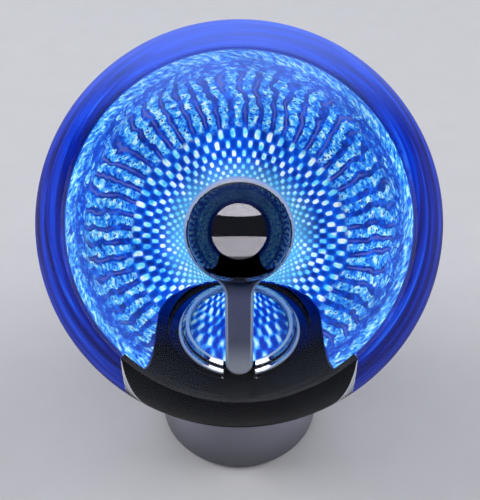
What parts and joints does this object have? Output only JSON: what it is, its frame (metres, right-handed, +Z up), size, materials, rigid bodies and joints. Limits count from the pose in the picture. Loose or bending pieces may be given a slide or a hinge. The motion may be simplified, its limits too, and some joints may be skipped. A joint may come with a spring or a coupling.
{
  "type": "plasma ball",
  "caption": "Desk plasma ball: clear glass globe on a short round base, with a polished ball electrode on a flat leaning arm, a notched polished ring and a blue lattice lining.",
  "frame": {"origin": "centre of the underside of the feet, on the globe's vertical axis", "axes": "+Z up through the globe; -Y is the front, the side the electrode arm's foot stands on; +Y is the back, with the socket and controls"},
  "size_m": [0.2, 0.2, 0.25],
  "materials": {
    "clear_glass": "clear polished glass",
    "lattice_film": "glossy blue metallised lattice",
    "polished_metal": "dark mirror polish",
    "black_gloss": "high gloss black",
    "black_matte": "matte black",
    "frosted_shell": "satin grey-lilac",
    "black_rubber": "matte",
    "white_silicone": "satin",
    "ceramic_white": "glazed",
    "window_glass": "clear polished glass",
    "lead_glass": "clear glass",
    "lamp_blue": "translucent blue",
    "aluminium": "satin machined",
    "steel": "zinc plated",
    "brass": "bright nickel-brass",
    "board_green": "solder mask",
    "board_white": "white solder mask",
    "ferrite": "matte dark grey",
    "copper_wire": "enamelled copper",
    "component_black": "moulded epoxy",
    "capacitor_sleeve": "shrink sleeve",
    "lead_red": "silicone insulation"
  },
  "bodies": {
    "globe_and_base": {"globe": "clear_glass", "globe_gasket": "black_rubber", "lattice_bowl": "lattice_film", "black_liner": "black_gloss", "seal_plate": "black_gloss", "cradle": "black_gloss", "cradle_screws": "steel", "exhaust_tube": "lead_glass", "bezel_ring": "polished_metal", "window_gasket": "black_rubber", "lamp_window": "window_glass", "heat_spreader": "aluminium", "spreader_screws": "steel", "led_board": "board_white", "blue_leds": "lamp_blue", "led_leads": "lead_red", "electrode_arm": "polished_metal", "slot_block": "black_gloss", "feedthrough_bead": "ceramic_white", "feedthrough_pin": "steel", "terminal_nut": "brass", "terminal_lug": "brass", "hv_lead": "lead_red", "chassis": "black_matte", "base_shell": "frosted_shell", "base_plate": "black_matte", "base_screws": "steel", "rubber_feet": "black_rubber", "driver_board": "board_green", "board_standoffs": "brass", "board_screws": "steel", "flyback_core": "ferrite", "flyback_bobbin": "component_black", "secondary_winding": "copper_wire", "primary_winding": "copper_wire", "heatsink": "aluminium", "power_transistor": "component_black", "capacitors": "capacitor_sleeve", "control_chip": "component_black", "microphone": "aluminium", "rear_panel": "black_matte", "dc_jack": "black_matte", "dc_jack_pin": "brass", "dc_leads": "lead_red", "mode_switch_body": "component_black", "sensitivity_pot": "steel", "pot_nut": "steel"},
    "switch": {"mode_switch_slider": "black_matte"},
    "knob": {"pot_shaft": "aluminium", "sensitivity_knob": "black_matte"}
  },
  "joints": [
    {"name": "mode_slide", "type": "slide", "parent": "globe_and_base", "child": "switch", "axis": [1, 0, 0], "range_m": [-0.002, 0.002]},
    {"name": "sensitivity_turn", "type": "hinge", "parent": "globe_and_base", "child": "knob", "pos_m": [0.012, 0.045, 0.022], "axis": [0, 1, 0], "range_deg": [-135, 135]}
  ]
}
